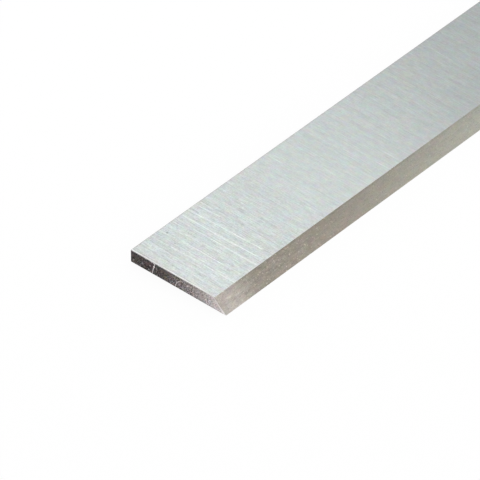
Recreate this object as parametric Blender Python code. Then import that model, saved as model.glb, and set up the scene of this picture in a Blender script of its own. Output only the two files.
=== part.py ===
"""Planer knife: one straight bar of ground high-speed steel with a single bevel along its front edge.

The knife lies on its wide underside. X runs along its length, the back edge faces +Y, the cutting
edge faces -Y and lies on the floor, and Z is up. The origin is the middle of the underside.
Lengths are in metres.
"""

import math

import bmesh
import bpy

# Driving sizes of the bar
KNIFE_LENGTH = 0.260
KNIFE_WIDTH = 0.025
KNIFE_THICKNESS = 0.003

# The bevel's angle, between the ground bevel and the underside
BEVEL_ANGLE = math.radians(45)

# Flats on the two long back edges, and round the rim of each square-cut end, as legs of a chamfer
BACK_BREAK = 0.00012
END_BREAK = 0.0001

# Finish of the cross-ground faces
STEEL_COLOUR = (0.62, 0.66, 0.65, 1.0)
STEEL_ROUGHNESS = 0.34
STEEL_METALLIC = 1.0


def clear_scene():
    """Removes whatever the file opened with."""
    for old in list(bpy.data.objects):
        bpy.data.objects.remove(old)


def ground_steel():
    """The bare ground steel that the whole knife is made of."""
    steel = bpy.data.materials.new("ground_steel")
    steel.use_nodes = True
    shader = steel.node_tree.nodes["Principled BSDF"]
    shader.inputs["Base Color"].default_value = STEEL_COLOUR
    shader.inputs["Roughness"].default_value = STEEL_ROUGHNESS
    shader.inputs["Metallic"].default_value = STEEL_METALLIC
    return steel


def knife_section():
    """The section's corners as (y, z), anticlockwise seen from +X, starting at the cutting edge."""
    cutting_edge = -KNIFE_WIDTH / 2
    back = KNIFE_WIDTH / 2
    bevel_run = KNIFE_THICKNESS / math.tan(BEVEL_ANGLE)
    return [
        (cutting_edge, 0.0),
        (back - BACK_BREAK, 0.0),
        (back, BACK_BREAK),
        (back, KNIFE_THICKNESS - BACK_BREAK),
        (back - BACK_BREAK, KNIFE_THICKNESS),
        (cutting_edge + bevel_run, KNIFE_THICKNESS),
    ]


def extrude_bar(mesh):
    """Draws the section at the -X end and extrudes it along the knife's whole length."""
    corners = [mesh.verts.new((-KNIFE_LENGTH / 2, y, z)) for y, z in knife_section()]
    near_end = mesh.faces.new(corners)
    grown = bmesh.ops.extrude_face_region(mesh, geom=[near_end])
    far_corners = [item for item in grown["geom"] if isinstance(item, bmesh.types.BMVert)]
    bmesh.ops.translate(mesh, verts=far_corners, vec=(KNIFE_LENGTH, 0, 0))
    bmesh.ops.recalc_face_normals(mesh, faces=mesh.faces)


def break_end_edges(mesh):
    """Chamfers the rim of each end. The cutting edge itself stays sharp from end to end."""
    mesh.faces.ensure_lookup_table()
    ends = [face for face in mesh.faces if abs(face.normal.x) > 0.5]
    rims = {edge for face in ends for edge in face.edges}
    bmesh.ops.bevel(
        mesh,
        geom=list(rims),
        offset=END_BREAK,
        offset_type="OFFSET",
        segments=1,
        affect="EDGES",
        clamp_overlap=True,
    )


def build_knife():
    """The planer knife as one closed solid in one node."""
    shape = bmesh.new()
    extrude_bar(shape)
    break_end_edges(shape)
    mesh = bpy.data.meshes.new("planer_knife")
    shape.to_mesh(mesh)
    shape.free()
    mesh.materials.append(ground_steel())
    knife = bpy.data.objects.new("planer_knife", mesh)
    bpy.context.scene.collection.objects.link(knife)
    return knife


clear_scene()
build_knife()
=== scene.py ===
import math

import bmesh
import bpy
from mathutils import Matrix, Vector


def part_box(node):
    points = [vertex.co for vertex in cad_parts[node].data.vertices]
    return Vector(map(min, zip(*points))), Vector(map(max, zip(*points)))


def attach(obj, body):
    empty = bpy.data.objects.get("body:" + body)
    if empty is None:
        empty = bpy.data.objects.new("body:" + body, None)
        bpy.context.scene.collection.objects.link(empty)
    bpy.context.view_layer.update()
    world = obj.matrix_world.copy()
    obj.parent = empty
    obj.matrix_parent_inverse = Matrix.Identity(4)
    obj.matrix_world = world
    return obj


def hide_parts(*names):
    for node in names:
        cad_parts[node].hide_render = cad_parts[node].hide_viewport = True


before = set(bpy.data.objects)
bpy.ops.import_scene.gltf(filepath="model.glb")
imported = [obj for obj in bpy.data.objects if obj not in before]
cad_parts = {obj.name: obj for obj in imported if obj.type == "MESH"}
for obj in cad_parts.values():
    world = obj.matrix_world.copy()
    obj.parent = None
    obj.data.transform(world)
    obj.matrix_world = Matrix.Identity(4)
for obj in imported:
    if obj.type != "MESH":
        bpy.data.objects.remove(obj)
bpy.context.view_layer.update()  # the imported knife, which stays as it is
print("frame loaded, nodes:", ", ".join(sorted(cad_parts)))

mm = 1000  # millimetres in a metre: meshes are in metres, finishes in millimetres


# Sockets and nodes

class Wire:  # an output socket that Python's operators work on
    def __init__(self, tree, out):
        self.tree = tree
        self.out = out

    def node(self, kind, settings, inputs, out=0):  # any node: its type, its settings, then its sockets
        made = self.tree.nodes.new("ShaderNode" + kind)
        for name, value in settings.items():
            setattr(made, name, value)
        for key, value in inputs.items():
            self.plug(made.inputs[key], value)
        return Wire(self.tree, made.outputs[out])

    def plug(self, socket, value):
        if isinstance(value, Wire):
            self.tree.links.new(value.out, socket)
        else:
            socket.default_value = value

    def maths(self, operation, *values):
        return self.node("Math", {"operation": operation}, dict(enumerate(values)))

    def __add__(self, other):
        return self.maths("ADD", self, other)

    def __sub__(self, other):
        return self.maths("SUBTRACT", self, other)

    def __rsub__(self, other):
        return self.maths("SUBTRACT", other, self)

    def __mul__(self, other):
        return self.maths("MULTIPLY", self, other)

    def size(self):
        return self.maths("ABSOLUTE", self)

    def root(self):
        return self.maths("SQRT", self)

    def larger(self, other):
        return self.maths("MAXIMUM", self, other)

    __radd__ = __add__
    __rmul__ = __mul__


def startFinish(name):  # a metal's material, its shader and the place on the piece
    material = bpy.data.materials.new(name)
    material.use_nodes = True
    tree = material.node_tree
    shader = tree.nodes["Principled BSDF"]
    shader.inputs["Metallic"].default_value = 1.0
    coordinates = tree.nodes.new("ShaderNodeTexCoord")
    return material, shader, Wire(tree, coordinates.outputs["Object"])


def parts(vector, names):  # the named coordinates, such as "XZ"
    split = vector.node("SeparateXYZ", {}, {0: vector}).out.node
    return [Wire(vector.tree, split.outputs[name]) for name in names]


def axes(place, names):  # the same in millimetres
    return [part * mm for part in parts(place, names)]


shifts = {  # they keep one noise from repeating another
    "layer": 11.0,  # from each layer to the next
    "endHues": 119.0,
    "specks": 137.0,
    "topHues": 143.0,
    "bevelHues": 153.0,
    "strays": 161.0,
}


def grain(place, cell, detail, shift, lean=0.0, colour=False):  # noise, its cells in millimetres
    turned = place.node("VectorRotate", {"rotation_type": "Z_AXIS"}, {"Vector": place, "Angle": lean})
    stretch = [mm / size for size in cell]
    at = place.node("VectorMath", {"operation": "MULTIPLY_ADD"}, {0: turned, 1: stretch, 2: (shift,) * 3})
    return place.node("TexNoise", {}, {"Vector": at, "Scale": 1.0, "Detail": detail}, int(colour))


def between(value, start, full):  # 0 at start, 1 at full, smooth in between, whichever is the larger
    return value.node("MapRange", {"interpolation_type": "SMOOTHSTEP"},
                      {0: value, 1: start, 2: full, 3: 0.0, 4: 1.0})


def masks(values, zones):  # for each zone, 0 where it starts and 1 where it is full
    return {name: between(values[along], start, full) for name, (along, start, full) in zones.items()}


def hueGrain(place, settings, shift, lean=0.0):  # coloured noise, for tint
    return grain(place, settings["hueCell"], settings["hueDetail"], shift, lean, colour=True)


def brightest(place, settings, shift, lean=0.0):  # 1 in the brightest cells of a noise, 0 in most
    return between(grain(place, settings["cell"], settings["detail"], shift, lean), *settings["noise"])


def largest(wires):
    whole = wires[0]
    for wire in wires[1:]:
        whole = whole.larger(wire)
    return whole


def blend(share, first, second):  # first at 0, second at 1, both colours
    pair = [tone if isinstance(tone, Wire) else (*tone, 1) for tone in (first, second)]
    return share.node("Mix", {"data_type": "RGBA"}, {0: share, 6: pair[0], 7: pair[1]}, 2)


def dim(colour, value):  # a colour times a value
    return value.node("VectorMath", {"operation": "SCALE"}, {0: colour, "Scale": value})


def layered(place, layers, lean=0.0):  # all the layers' noises round 1, and each of them by its name
    tone = 1
    noises = {}
    for i, (name, (cell, detail, strength)) in enumerate(layers.items()):
        noises[name] = grain(place, cell, detail, shifts["layer"] * i, lean)
        tone = tone + (noises[name] - 0.5) * strength
    return tone, noises


def tint(colour, hues, strength):  # a colour times coloured noise, with one strength or one a channel
    shares = strength if isinstance(strength, tuple) else (strength,) * 3
    spread = hues.node("VectorMath", {"operation": "MULTIPLY_ADD"},
                       {0: hues, 1: shares, 2: [1 - share / 2 for share in shares]})
    return hues.node("VectorMath", {"operation": "MULTIPLY"}, {0: colour, 1: spread})


cores = {"stroke": 0.3, "spot": 0.4}  # the share of a stroke's width and of a spot's radius that is full


def stroke(across, up, start, end, width):  # 1 on a straight line, 0 past its width, all in millimetres
    run = end[0] - start[0]
    rise = end[1] - start[1]
    square = run * run + rise * rise
    along = (across - start[0]) * (run / square) + (up - start[1]) * (rise / square)
    along = along.node("Clamp", {}, {0: along})
    aside = across - start[0] - along * run
    above = up - start[1] - along * rise
    return between((aside * aside + above * above).root(), width, width * cores["stroke"])


def strokes(across, up, points, width):  # the same for a line through several points
    return largest([stroke(across, up, start, end, width) for start, end in zip(points, points[1:])])


def spot(across, up, centre, radius):
    aside = across - centre[0]
    above = up - centre[1]
    return between((aside * aside + above * above).root(), radius, radius * cores["spot"])


calmZone = (45.0, 16.0)  # millimetres from the nearer end: a tone is calm past one, whole before the other


def calmed(tone, inward, share):  # a tone round 1 with only this share of its contrast far from the ends
    return 1 + (tone - 1) * (between(inward, *calmZone) * (1 - share) + share)


def closeFinish(place, shader, settings, colour, noise, height=None):  # its colour, roughness and bumps
    roughness, spread = settings["roughness"]
    place.plug(shader.inputs["Base Color"], colour)
    place.plug(shader.inputs["Roughness"], roughness + (noise - 0.5) * spread)
    if height is not None:
        bump = place.node("Bump", {}, {"Strength": 1.0, "Distance": settings["depth"], "Height": height})
        place.plug(shader.inputs["Normal"], bump)


# The knife's shape

samePlace = 1e-6  # places nearer than this are the same, in metres
cutTolerance = 1e-7
facing = {  # the least that a face's normal reaches along an axis, for a face that looks that way
    "straight": 0.999,
    "level": 0.99,
    "mostly": 0.8,
    "up": 0.1,
    "tilted": 0.01,
}

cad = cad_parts["planer_knife"]
low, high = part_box("planer_knife")
bevelTop = min(corner.co.y for corner in cad.data.vertices if corner.co.z > high.z - samePlace)
bevelWay = Vector((0, low.z - high.z, bevelTop - low.y)).normalized()  # straight out of the bevel

knifeShape = {
    "backBreak": 0.00012,  # round on the two long back edges, in metres
    "rimBreak": 0.00009,  # round on the rims of the ends
    "footShare": 0.8,  # share of it on the rims' undersides
    "breakSteps": 3,
    "lengths": 4,  # how many stretches the long faces are cut into
    "creaseAngle": 40,  # edges sharper than this stay crisp, in degrees
    "flatArea": 0.0001,  # faces larger than this are ground flat, in square metres
}


def pick(mesh, kind, test):  # selects only the verts, edges or faces that pass, in edit mode
    bpy.ops.mesh.select_mode(type={"verts": "VERT", "edges": "EDGE", "faces": "FACE"}[kind])
    bpy.ops.mesh.select_all(action="DESELECT")
    shape = bmesh.from_edit_mesh(mesh)
    for item in getattr(shape, kind):
        if test(item):
            item.select_set(True)
    shape.select_flush_mode()
    bmesh.update_edit_mesh(mesh)


def middle(edge):
    return (edge.verts[0].co + edge.verts[1].co) / 2


def cut(mesh, place, way, test=lambda face: True):  # a cut by a plane through the faces that pass
    pick(mesh, "faces", test)
    bpy.ops.mesh.bisect(plane_co=place, plane_no=way, threshold=cutTolerance)


def atBack(edge):  # a long edge of the back
    return abs(middle(edge).x) < high.x / 2 and middle(edge).y > high.y - samePlace


def onRim(edge):
    return abs(middle(edge).x) > high.x - samePlace


def underRim(edge):
    return onRim(edge) and middle(edge).z < low.z + samePlace


def shapeBar():  # the ground bar with its bevel and its broken edges
    bpy.ops.object.select_all(action="DESELECT")
    bpy.ops.mesh.primitive_cube_add(size=1, location=(low + high) / 2, scale=high - low)
    piece = bpy.context.object
    piece.name = "ground_knife"
    piece.data.name = "ground_knife"
    bpy.ops.object.transform_apply(location=True, rotation=True, scale=True)
    bpy.ops.object.mode_set(mode="EDIT")
    mesh = piece.data

    # All that lies in front of the bevel goes
    bpy.ops.mesh.select_all(action="SELECT")
    bpy.ops.mesh.bisect(plane_co=(0, low.y, low.z), plane_no=bevelWay, threshold=cutTolerance,
                        use_fill=True, clear_outer=True)

    # The two long edges at the back, then the rims of both ends, finer underneath
    pick(mesh, "edges", atBack)
    bpy.ops.mesh.bevel(offset=knifeShape["backBreak"], segments=knifeShape["breakSteps"], affect="EDGES")
    pick(mesh, "edges", onRim)
    bpy.ops.transform.edge_bevelweight(value=1.0)
    pick(mesh, "edges", underRim)
    bpy.ops.transform.edge_bevelweight(value=knifeShape["footShare"] - 1.0)
    bpy.ops.object.mode_set(mode="OBJECT")
    rims = piece.modifiers.new("rims", "BEVEL")
    rims.limit_method = "WEIGHT"
    rims.width = knifeShape["rimBreak"]
    rims.segments = knifeShape["breakSteps"]
    bpy.ops.object.modifier_apply(modifier=rims.name)
    bpy.ops.object.mode_set(mode="EDIT")

    stretch = (high.x - low.x) / knifeShape["lengths"]
    for i in range(1, knifeShape["lengths"]):
        cut(mesh, (low.x + i * stretch, 0, 0), (1, 0, 0))
    bpy.ops.mesh.select_all(action="SELECT")
    bpy.ops.mesh.normals_make_consistent(inside=False)
    bpy.ops.object.mode_set(mode="OBJECT")
    return piece


knife = shapeBar()
print("bar shaped:", len(knife.data.polygons), "faces")

endRelief = {  # in metres
    "land": 0.00004,  # smooth margin inside the rim
    "sink": 0.00001,
    "cell": 0.00016,  # size of the small faces that the roughness is made of
    "coarse": {"size": 0.0009, "depth": 0.00002},
    "fine": {"size": 0.00026, "depth": 0.000022},
    "markedZone": 0.00024,  # the faces this near a scratch are made finer
    "finer": 3,  # cuts through each of them
    "scratchDepth": 0.000015,
    "scratchReach": 0.00006,
    "burrAndHighlight": 0.0004,  # smooth by the sloping edge
}
endMarks = {  # on the near end, as (y, z) in millimetres
    "scratch": ((6.1, 2.9), (6.35, 1.95), (6.6, 1.2), (6.75, 0.65), (6.82, 0.1)),
    "side": ((5.75, 2.05), (5.63, 1.5)),
    "arc": ((0.78, 0.1), (0.68, 0.6), (0.35, 1.2), (0.0, 1.7), (-0.6, 2.15), (-1.15, 2.35)),
}


def depthOf(face):  # how far a face lies in from the tip of its end
    return high.x - abs(face.calc_center_median().x)


def onEnd(face):
    return abs(face.normal.x) > facing["straight"] and depthOf(face) < 2 * endRelief["sink"]


def sunk(face):  # in the sunk part of an end
    straight = abs(face.normal.x) > facing["straight"]
    return straight and abs(depthOf(face) - endRelief["sink"]) < cutTolerance


def behindBevel(y, z, scale=1):  # how deep a place lies behind the bevel, for numbers and for sockets
    return (y - low.y * scale) * -bevelWay.y + (z - low.z * scale) * -bevelWay.z


def isRough(corner):  # within the rims, but not on the burr with its painted highlight
    return (abs(corner.co.x) < high.x - endRelief["sink"] / 2
            and all(abs(face.normal.x) > facing["mostly"] for face in corner.link_faces)
            and behindBevel(corner.co.y, corner.co.z) > endRelief["burrAndHighlight"])


def fromLine(across, up, points):  # distance to a line through these points
    place = Vector((across, up))
    nearest = []
    for start, end in zip(points, points[1:]):
        start = Vector(start)
        run = Vector(end) - start
        along = min(1, max(0, (place - start).dot(run) / run.length_squared))
        nearest.append((place - start - run * along).length)
    return min(nearest)


def nearMark(place, reach):  # on the near end, and nearer than this to one of its scratches
    if place.x > 0:
        return False
    return min(fromLine(place.y * mm, place.z * mm, line) for line in endMarks.values()) < reach * mm


def gridEnds(mesh):  # sinks both ends a little and cuts them into small faces
    pick(mesh, "faces", onEnd)
    bpy.ops.mesh.inset(thickness=endRelief["land"], depth=-endRelief["sink"], use_individual=True)
    for axis in (2, 1):
        steps = round((high[axis] - low[axis]) / endRelief["cell"])
        way = Vector((0, 0, 0))
        way[axis] = 1
        for i in range(1, steps):
            place = Vector((0, 0, 0))
            place[axis] = low[axis] + (high[axis] - low[axis]) * i / steps
            cut(mesh, place, way, sunk)


def grooveScratches(mesh):  # shallow grooves on the near end, on finer faces
    zone = endRelief["markedZone"]
    reach = endRelief["scratchReach"]
    pick(mesh, "faces", lambda face: sunk(face) and nearMark(face.calc_center_median(), zone))
    bpy.ops.mesh.subdivide(number_cuts=endRelief["finer"])
    pick(mesh, "faces", lambda face: len(face.verts) > 4 and abs(face.normal.x) > facing["mostly"])
    bpy.ops.mesh.quads_convert_to_tris(ngon_method="BEAUTY")
    pick(mesh, "verts", lambda corner: all(map(sunk, corner.link_faces)) and nearMark(corner.co, reach))
    bpy.ops.transform.translate(value=(endRelief["scratchDepth"], 0, 0))


def roughenEnds(piece):
    bpy.ops.object.mode_set(mode="EDIT")
    mesh = piece.data
    gridEnds(mesh)
    grooveScratches(mesh)
    pick(mesh, "verts", isRough)
    bpy.ops.object.mode_set(mode="OBJECT")
    rough = piece.vertex_groups.new(name="roughEnds")
    rough.add([corner.index for corner in mesh.vertices if corner.select], 1.0, "REPLACE")
    for name in ("coarse", "fine"):
        grit = bpy.data.textures.new(name + "Grit", "CLOUDS")
        grit.noise_scale = endRelief[name]["size"]
        grit.noise_depth = 1
        displace = piece.modifiers.new(name + "Grit", "DISPLACE")
        displace.texture = grit
        displace.texture_coords = "LOCAL"
        displace.vertex_group = rough.name
        displace.mid_level = 0.0
        displace.strength = -endRelief[name]["depth"]
        bpy.ops.object.modifier_apply(modifier=displace.name)


def finishShading(piece):  # the long ground faces stay flat, all that is rounded or rough is smooth
    bpy.ops.object.shade_smooth_by_angle(angle=math.radians(knifeShape["creaseAngle"]))
    bpy.ops.object.mode_set(mode="EDIT")
    pick(piece.data, "faces", lambda face: face.calc_area() > knifeShape["flatArea"])
    bpy.ops.mesh.faces_shade_flat()
    bpy.ops.object.mode_set(mode="OBJECT")


bakeMap = {  # the layout of a baked picture, in its pixels
    "side": 1024,
    "gap": 3,
    "across": {"top": 4.3, "bevel": 8.5, "underside": 2.9, "back": 7.0},  # how fine each is, as shares
    "ends": 19.5,  # pixels a millimetre
}


def sideOf(face):
    if abs(face.normal.x) > facing["tilted"]:
        return "end"
    if abs(face.normal.z) > facing["level"]:
        return "top" if face.normal.z > 0 else "underside"
    return "bevel" if face.normal.y < 0 else "back"


def acrossFrom(side, place):  # how far a place lies across its long face
    if side == "bevel":
        return math.dist((place.y, place.z), (bevelTop, high.z))
    if side == "back":
        rounding = math.copysign(high.y - place.y, place.z - high.z / 2)
        return place.z + rounding + knifeShape["backBreak"]
    return place.y - (bevelTop if side == "top" else low.y)


def layOutMap(piece):  # each long face in strips, as wide as the picture, and both ends in a row past them
    widths = {
        "top": high.y - bevelTop,
        "bevel": math.dist((low.y, low.z), (bevelTop, high.z)),
        "underside": high.y - low.y,
        "back": high.z - low.z + 2 * knifeShape["backBreak"],
    }
    gap = bakeMap["gap"]
    strips = knifeShape["lengths"]
    endScale = bakeMap["ends"] * mm
    endHeight = (high.z - low.z + 2 * knifeShape["rimBreak"]) * endScale
    free = bakeMap["side"] - endHeight - gap * (strips * len(widths) + 2)
    scale = free / strips / sum(widths[side] * bakeMap["across"][side] for side in widths)
    rows = {}
    row = gap
    for strip in range(strips):
        for side in widths:
            rows[side, strip] = row
            row += widths[side] * bakeMap["across"][side] * scale + gap
    stretch = (high.x - low.x) / strips
    pixels = piece.data.uv_layers.new(name="OFBake").data
    for face in piece.data.polygons:
        side = sideOf(face)
        strip = min(strips - 1, int((face.center.x - low.x) / stretch))
        straight = abs(face.normal.x) > facing["straight"]
        outward = Vector((0, 0)) if straight else face.normal.yz.normalized()
        for corner in face.loop_indices:
            place = piece.data.vertices[piece.data.loops[corner].vertex_index].co
            if side == "end":
                half = bakeMap["side"] / 2 if face.normal.x > 0 else 0
                margin = Vector((1, 1)) * knifeShape["rimBreak"] - low.yz
                spread = (place.yz + outward * (high.x - abs(place.x)) + margin) * endScale
                pixel = (half + gap + spread.x, row + spread.y)
            else:
                along = (place.x - low.x) / stretch - strip
                pixel = (gap + along * (bakeMap["side"] - 2 * gap),
                         rows[side, strip] + acrossFrom(side, place) * bakeMap["across"][side] * scale)
            pixels[corner].uv = (pixel[0] / bakeMap["side"], pixel[1] / bakeMap["side"])


# Finishes: colours are linear, lengths are in millimetres, and the bumps' depths in metres

crossGround = {
    "tone": (0.575, 0.619, 0.609),
    "worn": (0.605, 0.61, 0.605),  # by the ends, the back and the bevel
    "wornShares": (0.6, 0.5),  # how worn the back corners are, and the strip by the bevel
    "roughness": (0.34, 0.2),  # and its spread, here and below
    "lean": 0.025,  # the grinding lines' turn off square, in radians
    "layers": {  # each noise's cell, its detail and how much it darkens and brightens
        "hair": ((0.125, 2.4, 1.0), 2.0, 0.74),
        "lines": ((0.188, 12.0, 2.0), 2.0, 0.58),
        "bands": ((1.3, 18.0, 4.0), 2.0, 0.2),
        "fine": ((0.08, 5.0, 1.0), 1.0, 0.3),
        "grit": ((0.26, 0.3, 0.4), 1.0, 0.5),
    },
    "calm": 0.5,  # the contrast's share far from the ends
    "hueCell": (1.2, 1.7, 2.0),
    "hueDetail": 2.0,
    "hues": 0.25,  # how strongly the colour varies
    "strays": {"cell": (0.2, 11.0, 2.0), "detail": 1.0, "noise": (0.68, 0.8)},  # deep lines by chance
    "strayShare": 0.7,  # how bright they are next to the others
    "deep": 0.3,  # how much brighter a deep line is
    "deepWidth": 0.25,
    "towardsBack": 0.02,  # how much darker the back half is
    "shadeFarIn": (0.07, 0.05),  # painted shade: how much darker it is far from the ends, and besides by the bevel
    "brink": 0.02,  # how much brighter it is along the bevel
    "rim": 0.26,  # painted highlight: a bright line just inside the ends
    "rimFades": (0.5, 0.4),  # how much weaker the painted highlight is at the back and by the bevel
    "darkLine": 0.16,  # a darker line painted beside the highlight
    "backLine": 0.04,  # darker line along the back
    "zones": {  # along what, where each starts and where it is full, here and below
        "rim": ("inward", 0.37, 0.27),
        "rimAtBack": ("y", 3.0, 9.0),
        "rimByBevel": ("y", -5.0, -8.5),
        "darkLine": ("inward", 0.32, 0.42),
        "darkLineEnds": ("inward", 0.66, 0.5),
        "darkLineAcross": ("y", -9.0, 1.0),
        "backLine": ("y", 11.9, 12.2),
        "towardsBack": ("y", -3.0, 8.0),
        "brink": ("y", -9.1, -9.35),
        "shadeFarIn": ("inward", 48.0, 88.0),
        "shadeByBevel": ("y", 4.0, -7.0),
        "wornEnds": ("inward", 1.3, 0.2),
        "wornBack": ("y", 11.7, 12.5),
        "wornByBevel": ("y", -8.0, -9.4),
        "corners": ("inward", 4.5, 0.5),
        "cornersAcross": ("y", 4.0, 10.0),
    },
    "depth": 0.000004,
}
deepLines = (  # (from the near end, y) at both ends of each line, and how bright it is
    ((14.75, 11.8), (14.72, -2.5), 0.8),
    ((14.6, 3.4), (15.0, -8.8), 0.9),
    ((16.8, 12.2), (17.2, -6.7), 0.75),
    ((19.1, 11.3), (19.2, 6.3), 0.5),
    ((12.95, 7.5), (12.8, -9.4), 0.7),
    ((8.62, 6.5), (8.62, -8.5), 0.5),
    ((6.0, 7.0), (5.95, -9.4), 0.6),
    ((2.3, 3.0), (2.45, -8.5), 0.45),
    ((5.8, 11.8), (5.9, 8.0), 0.2),
    ((4.3, 11.6), (4.3, 7.5), 0.35),
    ((10.9, 3.5), (10.95, -1.5), 0.2),
)
pitsAndGlint = (  # pits and one painted glint: from the near end, y, radius and strength, less than 0 for the painted glint
    (8.65, 10.65, 0.29, 0.42), (1.85, 3.05, 0.24, 0.3), (7.2, 7.25, 0.17, 0.5), (3.67, 10.29, 0.17, -0.3),
)


def crossGroundSteel():
    material, shader, place = startFinish("crossGround")
    x, y = axes(place, "XY")
    inward = high.x * mm - x.size()  # from the nearer end
    fromEnd = x - low.x * mm  # from the near end
    at = masks({"inward": inward, "y": y}, crossGround["zones"])
    lean = crossGround["lean"]
    tone, noises = layered(place, crossGround["layers"], lean)
    tone = calmed(tone, inward, crossGround["calm"])

    deep = [brightest(place, crossGround["strays"], shifts["strays"], lean) * crossGround["strayShare"]]
    for start, end, strength in deepLines:
        deep.append(stroke(fromEnd, y, start, end, crossGround["deepWidth"]) * strength)
    # The pits darken; the one with a strength below 0 is a painted glint
    dark = sum(spot(fromEnd, y, (across, up), radius) * strength for across, up, radius, strength in pitsAndGlint)
    tone = tone + largest(deep) * crossGround["deep"] - dark
    tone = tone - at["towardsBack"] * crossGround["towardsBack"]

    # The painted highlight just inside the ends, and a darker line painted beside it
    fadeAtBack, fadeByBevel = crossGround["rimFades"]
    rim = at["rim"] * (1 - at["rimAtBack"] * fadeAtBack - at["rimByBevel"] * fadeByBevel)
    darkLine = at["darkLine"] * at["darkLineEnds"] * at["darkLineAcross"]
    lines = rim * crossGround["rim"] - darkLine * crossGround["darkLine"]
    lines = lines + at["brink"] * crossGround["brink"] - at["backLine"] * crossGround["backLine"]
    # Painted shade far from the ends, deeper by the bevel
    shadeFarIn, shadeByBevel = crossGround["shadeFarIn"]
    tone = tone * (1 + lines - at["shadeFarIn"] * (at["shadeByBevel"] * shadeByBevel + shadeFarIn))

    cornerShare, bevelShare = crossGround["wornShares"]
    corners = at["corners"] * at["cornersAcross"] * cornerShare
    worn = largest([at["wornEnds"], at["wornBack"], corners, at["wornByBevel"] * bevelShare])
    colour = dim(blend(worn, crossGround["tone"], crossGround["worn"]), tone)
    colour = tint(colour, hueGrain(place, crossGround, shifts["topHues"], lean), crossGround["hues"])
    closeFinish(place, shader, crossGround, colour, noises["lines"], noises["hair"] + noises["lines"] - dark)
    return material


bevelGround = {
    # The tones along the bevel are painted light and shade: a painted pool of light by the near end, painted
    # shade a little past it, lighter again further on
    "nearEnd": (0.772, 0.713, 0.645),
    "middle": (0.508, 0.460, 0.391),
    "farOn": (0.665, 0.68, 0.59),
    "roughness": (0.3, 0.2),
    "layers": {
        "mottle": ((0.5, 0.35, 0.35), 2.0, 0.44),
        "patches": ((2.0, 1.0, 1.0), 2.0, 0.36),
        "lines": ((2.2, 0.14, 0.14), 1.0, 0.5),
        "fine": ((5.0, 0.05, 0.05), 1.0, 0.3),
    },
    "calm": 0.4,
    "specks": {"cell": (0.36, 0.28, 0.28), "detail": 1.0, "noise": (0.6, 0.84)},
    "speckShares": (0.6, 1.1),  # how bright the specks are where the bevel is bright, and in between
    "foot": 0.08,  # how much brighter it is by the cutting edge
    "brow": (0.03, 0.09),  # how much darker it is along the upper edge, by the near end and past it
    "hueCell": (1.9, 1.0, 1.0),
    "hueDetail": 2.0,
    "hues": 0.22,
    "zones": {
        "specks": ("fromEnd", 4.0, 10.0),
        "specksEnd": ("fromEnd", 90.0, 50.0),
        "foot": ("z", 2.6, 0.4),
        "brow": ("z", 2.6, 2.85),
        "browPastEnd": ("fromEnd", 5.0, 9.0),
        "nearEnd": ("fromEnd", 12.2, 2.4),
        "farOn": ("fromEnd", 22.0, 105.0),
    },
    "depth": 0.000003,
}


def bevelGroundSteel():
    material, shader, place = startFinish("bevelGround")
    x, z = axes(place, "XZ")
    at = masks({"fromEnd": x - low.x * mm, "z": z}, bevelGround["zones"])
    tone, noises = layered(place, bevelGround["layers"])
    few, most = bevelGround["speckShares"]
    specks = brightest(place, bevelGround["specks"], shifts["specks"])
    specks = specks * (at["specks"] * at["specksEnd"] * (most - few) + few)
    tone = calmed(tone + specks, high.x * mm - x.size(), bevelGround["calm"])
    tone = tone + at["foot"] * bevelGround["foot"]
    nearBrow, brow = bevelGround["brow"]
    tone = tone - at["brow"] * (at["browPastEnd"] * (brow - nearBrow) + nearBrow)
    # Painted light and shade along the bevel, times its grain
    colour = blend(at["farOn"], bevelGround["middle"], bevelGround["farOn"])
    colour = dim(blend(at["nearEnd"], colour, bevelGround["nearEnd"]), tone)
    colour = tint(colour, hueGrain(place, bevelGround, shifts["bevelHues"]), bevelGround["hues"])
    closeFinish(place, shader, bevelGround, colour, noises["mottle"], noises["mottle"] + noises["lines"])
    return material


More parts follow.
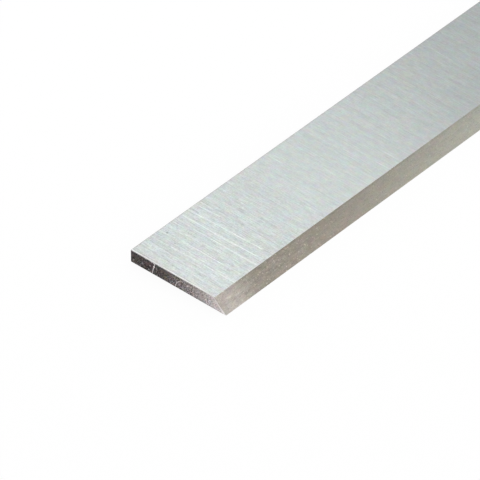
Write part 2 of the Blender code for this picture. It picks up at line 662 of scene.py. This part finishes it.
cutEnd = {
    "dark": (0.074, 0.063, 0.062),
    "middle": (0.234, 0.202, 0.197),
    "pale": (0.575, 0.533, 0.527),
    "mark": (0.80, 0.75, 0.74),
    "burrAndHighlight": ((0.90, 0.87, 0.86), (0.85, 0.76, 0.75)),  # a burr with a painted highlight on it: by the cutting edge and further up
    "burrShares": (0.95, 0.45),  # how strong it is by the cutting edge, and how much weaker further up
    "roughness": (0.5, 0.3),
    "layers": {
        "mottle": ((0.72, 0.72, 0.5), 3.0, 1.05),
        "flecks": ((0.28, 0.28, 0.25), 2.0, 5.6),
        "grit": ((0.15, 0.15, 0.14), 3.0, 1.7),
    },
    "evenPale": (0.48, 0.3),  # share of the mottling that the pale side keeps, and by the sloping edge
    "lower": (0.22, 0.3),  # how much stronger it is low down, in the middle and besides on the dark side
    "dimmest": 0.25,  # no tone goes below this
    "hueCell": (1.0, 1.15, 0.75),
    "hueDetail": 1.0,
    "hues": ((1.0, 0.25, 0.9), (0.4, 0.1, 0.35)),  # on the dark and on the pale side
    "rust": {"colour": (0.1, 0.056, 0.055), "place": (7.3, 1.75), "radius": 1.15, "share": 0.65},  # a patch
    "ragged": 0.4,  # how far the noise pulls the spots out of round
    "foot": 0.06,  # painted shade: how much darker the dark side is along the underside
    "heel": 0.1,  # how much brighter the pale side is there
    "strokes": {"scratch": (0.14, 0.9), "side": (0.11, 0.45), "arc": (0.12, 0.75)},  # widths and strengths
    "broken": (0.2, 0.6),  # where the grit's noise is this, the strokes are gone and whole
    "zones": {
        "nearEnd": ("x", 1.0, -1.0),
        "lower": ("z", 1.9, 1.1),
        "lowerMiddle": ("y", -6.0, -4.0),
        "lowerDark": ("y", -0.5, 2.0),
        "mottled": ("y", -7.0, -1.0),
        "even": ("y", -8.0, -10.5),
        "pastDark": ("y", 6.5, -3.5),
        "pale": ("y", -1.0, -12.0),
        "paleHues": ("y", 3.0, -5.0),
        "foot": ("z", 0.4, 0.05),
        "footAcross": ("y", -6.0, 1.0),
        "heel": ("z", 0.8, 0.2),
        "heelAcross": ("y", -7.0, -8.5),
        "arc": ("y", -1.9, -0.4),
        "burrAndHighlight": ("behind", 0.75, 0.1),
        "burrWeaker": ("z", 0.2, 2.0),
        "burrUp": ("z", 0.2, 1.6),
    },
    "depth": 0.00001,
}
endSpots = (  # bright chips and specks on the near end: y, z, radius, strength
    (8.5, 2.9, 0.28, 0.6), (7.0, 2.9, 0.34, 0.7), (6.45, 2.85, 0.27, 0.7), (5.05, 2.9, 0.22, 0.5),
    (6.35, 1.95, 0.27, 1.0), (7.42, 1.75, 0.2, 0.5), (7.76, 0.6, 0.2, 0.75), (7.46, 0.15, 0.15, 0.65),
    (5.6, 0.2, 0.19, 0.9), (11.75, 0.8, 0.22, 0.27), (9.4, 1.2, 0.25, 0.27), (0.7, 0.57, 0.16, 0.7),
    (-0.35, 1.3, 0.16, 0.4), (-1.05, 0.6, 0.17, 0.5), (-1.17, 2.15, 0.2, 0.45), (-1.8, 2.1, 0.15, 0.5),
    (-2.42, 1.85, 0.25, 0.8), (-2.0, 2.2, 1.0, 0.04), (-3.9, 2.2, 1.0, 0.04), (-3.9, 1.3, 0.25, 0.35),
    (-4.1, 0.4, 0.16, 0.4), (-7.9, 1.07, 0.16, 0.6), (-11.6, 0.65, 0.2, 0.6),
)
endStains = (  # dark ones
    (7.8, 1.25, 0.36, 0.75), (6.7, 2.3, 0.25, 0.5), (5.38, 0.35, 0.2, 0.6), (-0.6, 0.3, 0.28, 0.6),
    (-3.3, 0.25, 0.3, 0.5), (-1.15, 1.6, 0.2, 0.4), (2.25, 1.5, 1.8, 0.1), (10.6, 2.2, 1.9, 0.13),
)


def cutEndSteel():
    material, shader, place = startFinish("cutEnd")
    x, y, z = axes(place, "XYZ")
    at = masks({"x": x, "y": y, "z": z, "behind": behindBevel(y, z, mm)}, cutEnd["zones"])
    tone, noises = layered(place, cutEnd["layers"])
    lowerMiddle, lowerDark = cutEnd["lower"]
    lower = at["lower"] * (at["lowerMiddle"] * lowerMiddle + at["lowerDark"] * lowerDark)
    evenPale, evenTip = cutEnd["evenPale"]
    share = at["mottled"] * (1 - evenPale) + evenPale - at["even"] * (evenPale - evenTip)
    tone = 1 + (tone - 1) * share * (1 + lower)
    colour = blend(at["pastDark"], cutEnd["dark"], cutEnd["middle"])
    colour = blend(at["pale"], colour, cutEnd["pale"])
    rust = cutEnd["rust"]
    rusty = spot(y, z, rust["place"], rust["radius"]) * at["nearEnd"] * rust["share"]
    colour = blend(rusty, colour, rust["colour"])

    # Stains, which the noise pulls out of round, and painted shade along the underside
    raggedY = y + (noises["flecks"] - 0.5) * cutEnd["ragged"]
    raggedZ = z + (noises["grit"] - 0.5) * cutEnd["ragged"]
    stainsAndShade = [at["foot"] * at["footAcross"] * cutEnd["foot"]]
    for across, up, radius, strength in endStains:
        stainsAndShade.append(spot(raggedY, raggedZ, (across, up), radius) * at["nearEnd"] * strength)
    heel = at["heel"] * at["heelAcross"] * cutEnd["heel"]
    colour = dim(colour, (tone * (1 - largest(stainsAndShade) + heel)).larger(cutEnd["dimmest"]))
    hues = hueGrain(place, cutEnd, shifts["endHues"])
    darkHues, paleHues = cutEnd["hues"]
    colour = blend(at["paleHues"], tint(colour, hues, darkHues), tint(colour, hues, paleHues))

    # Scratches, then chips and specks
    scratches = []
    for name, (width, strength) in cutEnd["strokes"].items():
        fade = at["arc"] if name == "arc" else 1
        scratches.append(strokes(y, z, endMarks[name], width) * fade * strength)
    marks = [largest(scratches) * between(noises["grit"], *cutEnd["broken"])]
    for across, up, radius, strength in endSpots:
        marks.append(spot(raggedY, raggedZ, (across, up), radius) * strength)
    colour = blend(largest(marks) * at["nearEnd"], colour, cutEnd["mark"])

    # A burr along the sloping edge with a painted highlight on it, which grows towards the cutting edge
    strong, weaker = cutEnd["burrShares"]
    burrAndHighlight = at["burrAndHighlight"] * (strong - at["burrWeaker"] * weaker)
    colour = blend(burrAndHighlight, colour, blend(at["burrUp"], *cutEnd["burrAndHighlight"]))
    height = (noises["mottle"] + noises["grit"]) * (1 - burrAndHighlight)
    closeFinish(place, shader, cutEnd, colour, noises["grit"], height)
    return material


# The rims that face up: burnished steel with a painted highlight in its colour
burnishedHighlight = {
    "tone": (0.82, 0.797, 0.783),
    "besideBevel": (0.65, 0.58, 0.565),
    "roughness": (0.36, 0.2),
    "layers": {"mottle": ((0.25, 0.6, 0.6), 2.0, 0.3)},
    "back": 0.2,  # how much darker it is at the back, where the painted highlight fades
    "zones": {
        "back": ("y", -2.0, 12.0),
        "besideBevel": ("y", -9.3, -9.6),
        "upBevel": ("z", 0.2, 1.6),
    },
}


def burnishedRimHighlight():
    material, shader, place = startFinish("burnishedRimHighlight")
    y, z = axes(place, "YZ")
    at = masks({"y": y, "z": z}, burnishedHighlight["zones"])
    tone, noises = layered(place, burnishedHighlight["layers"])
    tone = tone * (1 - at["back"] * burnishedHighlight["back"])
    colour = blend(at["besideBevel"] * at["upBevel"], burnishedHighlight["tone"], burnishedHighlight["besideBevel"])
    closeFinish(place, shader, burnishedHighlight, dim(colour, tone), noises["mottle"])
    return material


backGround = {
    "tone": (0.34, 0.358, 0.35),
    "roughness": (0.38, 0.2),
    "layers": {"lines": ((9.0, 0.16, 0.16), 2.0, 0.5), "hair": ((4.0, 0.07, 0.07), 1.0, 0.5)},
    "depth": 0.000004,
}


def backGroundSteel():
    material, shader, place = startFinish("backGround")
    tone, noises = layered(place, backGround["layers"])
    colour = dim(backGround["tone"], tone)
    closeFinish(place, shader, backGround, colour, noises["lines"], noises["lines"] + noises["hair"])
    return material


def dressKnife(piece):
    finishes = {
        "top": crossGroundSteel(),
        "bevel": bevelGroundSteel(),
        "back": backGroundSteel(),
        "end": cutEndSteel(),
        "rim": burnishedRimHighlight(),
    }
    for finish in finishes.values():
        piece.data.materials.append(finish)
    slots = {side: i for i, side in enumerate(finishes)}
    slots["underside"] = slots["top"]
    for face in piece.data.polygons:
        side = sideOf(face)
        # Rims that face up take the burnished finish with its painted highlight, the others the end's finish
        if side == "end" and abs(face.normal.x) < facing["straight"] and face.normal.z > facing["up"]:
            side = "rim"
        face.material_index = slots[side]


dressKnife(knife)
layOutMap(knife)
roughenEnds(knife)
finishShading(knife)
print("ends roughened:", len(knife.data.polygons), "faces")

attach(knife, "root")
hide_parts("planer_knife")
print("finishes on:", ", ".join(steel.name for steel in knife.data.materials))


# Floor, light and camera

studio = {
    "floorSize": 12.0,
    "floorColour": (0.95, 0.95, 0.95, 1),
    "floorGlow": 0.92,  # share of the floor's own white, seen by the camera and in the steel
    "worldLight": 1.55,  # the world as light on matt surfaces
    "overhead": 0.53,  # how bright the steel sees the world high up, next to 1 at the horizon
    "high": 0.6,  # from this height of a ray upwards
}
lamps = {  # disks: place, aim, diameter and power
    "nearEndLamp": ((0.026, 0.175, 0.291), (-0.12, -0.05, 0.0), 0.30, 0.175),
    "overheadLamp": ((0.0, 0.0, 1.3), (0.0, 0.0, 0.0), 1.0, 1.0),
}
view = {
    "azimuth": -48.577,
    "elevation": 39.556,
    "distance": 1.2304,
    "aim": (-0.11082, 0.00077, 0.0),
    "lens": 467.0,  # on a sensor 36 mm wide
    "clip": (0.05, 50.0),  # how near and how far it sees
}


def sightRays(tree):  # 1 for what the camera sees straight, and for what it sees in or through a surface
    path = tree.nodes.new("ShaderNodeLightPath")
    straight, shiny, clear = [Wire(tree, path.outputs["Is " + kind + " Ray"])
                              for kind in ("Camera", "Glossy", "Transmission")]
    return straight, shiny.larger(clear)


def makeFloor():
    bpy.ops.object.select_all(action="DESELECT")
    bpy.ops.mesh.primitive_plane_add(size=studio["floorSize"], location=(0, 0, low.z))
    floor = bpy.context.object
    floor.name = "floor"
    material = bpy.data.materials.new("paleFloor")
    material.use_nodes = True
    tree = material.node_tree
    matt = tree.nodes["Principled BSDF"]
    matt.inputs["Base Color"].default_value = studio["floorColour"]
    matt.inputs["Roughness"].default_value = 1.0
    matt.inputs["Specular IOR Level"].default_value = 0.0
    glow = tree.nodes.new("ShaderNodeEmission")
    straight, shiny = sightRays(tree)
    share = straight.larger(shiny) * studio["floorGlow"]
    surfaces = [Wire(tree, shader.outputs[0]) for shader in (matt, glow)]
    both = share.node("MixShader", {}, {0: share, 1: surfaces[0], 2: surfaces[1]})
    both.plug(tree.nodes["Material Output"].inputs["Surface"], both)
    floor.data.materials.append(material)


def makeWorld():
    world = bpy.data.worlds.new("studio")
    bpy.context.scene.world = world
    world.use_nodes = True
    tree = world.node_tree
    background = tree.nodes["Background"]
    background.inputs["Color"].default_value = (1, 1, 1, 1)
    straight, shiny = sightRays(tree)
    way = tree.nodes.new("ShaderNodeTexCoord")
    height = parts(Wire(tree, way.outputs["Generated"]), "Z")[0]
    sky = 1 - between(height, 0.0, studio["high"]) * (1 - studio["overhead"])
    strength = straight.larger(sky * (studio["worldLight"] + shiny * (1 - studio["worldLight"])))
    straight.plug(background.inputs["Strength"], strength)


def makeLamp(name, place, aim, size, power):
    bpy.ops.object.light_add(type="AREA", location=place)
    lamp = bpy.context.object
    lamp.name = name
    lamp.data.shape = "DISK"
    lamp.data.size = size
    lamp.data.energy = power
    lamp.visible_camera = False
    lamp.rotation_euler = (Vector(aim) - Vector(place)).to_track_quat("-Z", "Y").to_euler()


def makeCamera():
    turn = math.radians(view["azimuth"])
    rise = math.radians(view["elevation"])
    back = Vector((math.sin(turn) * math.cos(rise), -math.cos(turn) * math.cos(rise), math.sin(rise)))
    place = Vector(view["aim"]) + back * view["distance"]
    bpy.ops.object.camera_add(location=place, rotation=(-back).to_track_quat("-Z", "Y").to_euler())
    camera = bpy.context.object
    camera.data.lens = view["lens"]
    camera.data.clip_start, camera.data.clip_end = view["clip"]
    bpy.context.scene.camera = camera


makeFloor()
makeWorld()
for name, (place, aim, size, power) in lamps.items():
    makeLamp(name, place, aim, size, power)
makeCamera()
bpy.context.scene.view_settings.view_transform = "Standard"
print("studio set")
